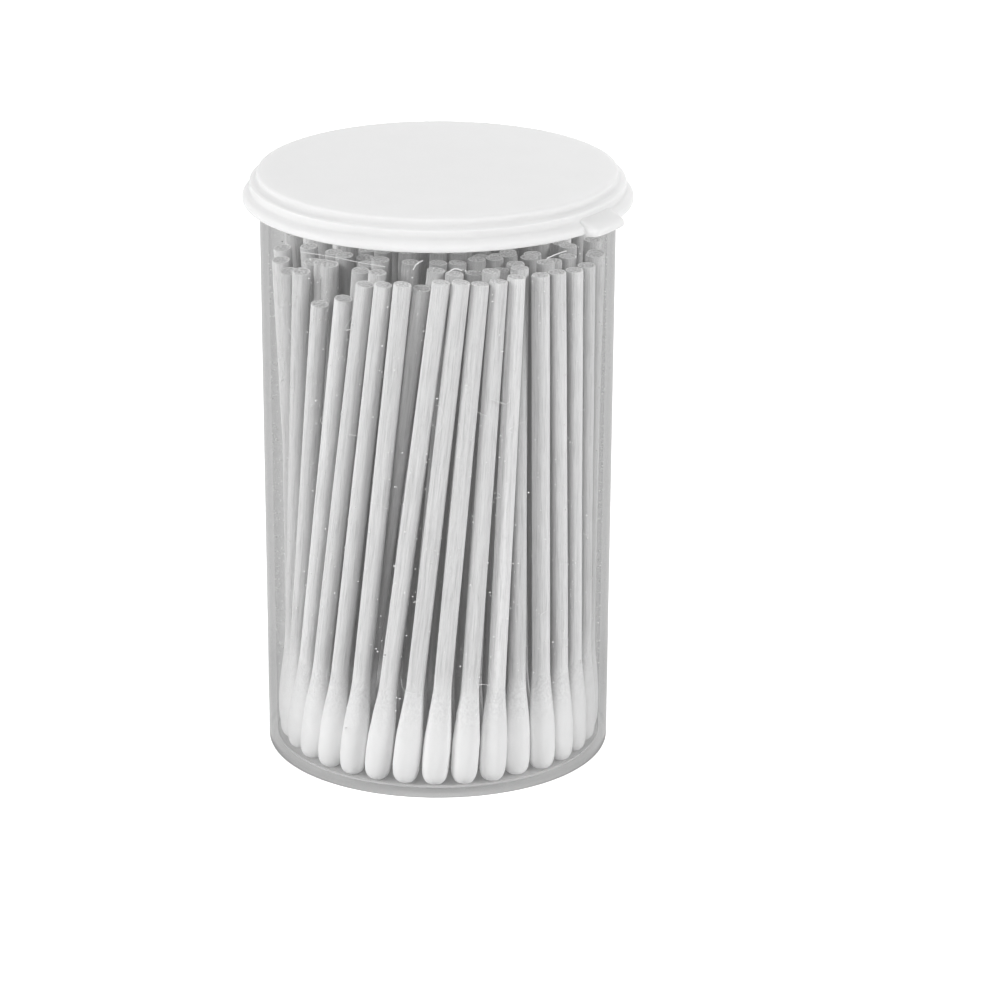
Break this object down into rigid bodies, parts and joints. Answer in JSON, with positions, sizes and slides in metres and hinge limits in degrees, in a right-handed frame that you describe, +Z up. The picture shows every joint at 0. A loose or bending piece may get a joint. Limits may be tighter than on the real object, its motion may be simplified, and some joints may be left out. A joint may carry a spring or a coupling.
{
  "type": "cotton swab tub",
  "caption": "Clear round plastic tub with a white snap lid and thumb tab, full of wooden-stick cotton swabs that stand cotton end down.",
  "frame": {"origin": "centre of the tub's base, on the surface that it stands on", "axes": "+Z up along the tub's axis, -Y towards the front that the picture shows, +X to its right"},
  "size_m": [0.0562, 0.0562, 0.0874],
  "materials": {
    "clear_plastic": "clear moulded plastic, polished",
    "lid_plastic": "white moulded plastic, soft sheen",
    "birch": "bare round wood stick, fine lengthwise grain",
    "cotton": "wound cotton, soft and matt"
  },
  "bodies": {
    "tub": {"core_cottons": "cotton", "core_sticks": "birch", "fourth_ring_cottons": "cotton", "fourth_ring_sticks": "birch", "outer_cotton_01": "cotton", "outer_cotton_02": "cotton", "outer_cotton_03": "cotton", "outer_cotton_04": "cotton", "outer_cotton_05": "cotton", "outer_cotton_06": "cotton", "outer_cotton_07": "cotton", "outer_cotton_08": "cotton", "outer_cotton_09": "cotton", "outer_cotton_10": "cotton", "outer_cotton_11": "cotton", "outer_cotton_12": "cotton", "outer_cotton_13": "cotton", "outer_cotton_14": "cotton", "outer_cotton_15": "cotton", "outer_cotton_16": "cotton", "outer_cotton_17": "cotton", "outer_cotton_18": "cotton", "outer_cotton_19": "cotton", "outer_cotton_20": "cotton", "outer_cotton_21": "cotton", "outer_cotton_22": "cotton", "outer_cotton_23": "cotton", "outer_cotton_24": "cotton", "outer_stick_01": "birch", "outer_stick_02": "birch", "outer_stick_03": "birch", "outer_stick_04": "birch", "outer_stick_05": "birch", "outer_stick_06": "birch", "outer_stick_07": "birch", "outer_stick_08": "birch", "outer_stick_09": "birch", "outer_stick_10": "birch", "outer_stick_11": "birch", "outer_stick_12": "birch", "outer_stick_13": "birch", "outer_stick_14": "birch", "outer_stick_15": "birch", "outer_stick_16": "birch", "outer_stick_17": "birch", "outer_stick_18": "birch", "outer_stick_19": "birch", "outer_stick_20": "birch", "outer_stick_21": "birch", "outer_stick_22": "birch", "outer_stick_23": "birch", "outer_stick_24": "birch", "rear_cottons": "cotton", "rear_sticks": "birch", "second_ring_cottons": "cotton", "second_ring_sticks": "birch", "third_ring_cottons": "cotton", "third_ring_sticks": "birch", "tub": "clear_plastic"},
    "lid": {"lid": "lid_plastic"}
  },
  "joints": [
    {"name": "lid_lift", "type": "slide", "parent": "tub", "child": "lid", "axis": [0, 0, 1], "range_m": [0, 0.03]}
  ]
}
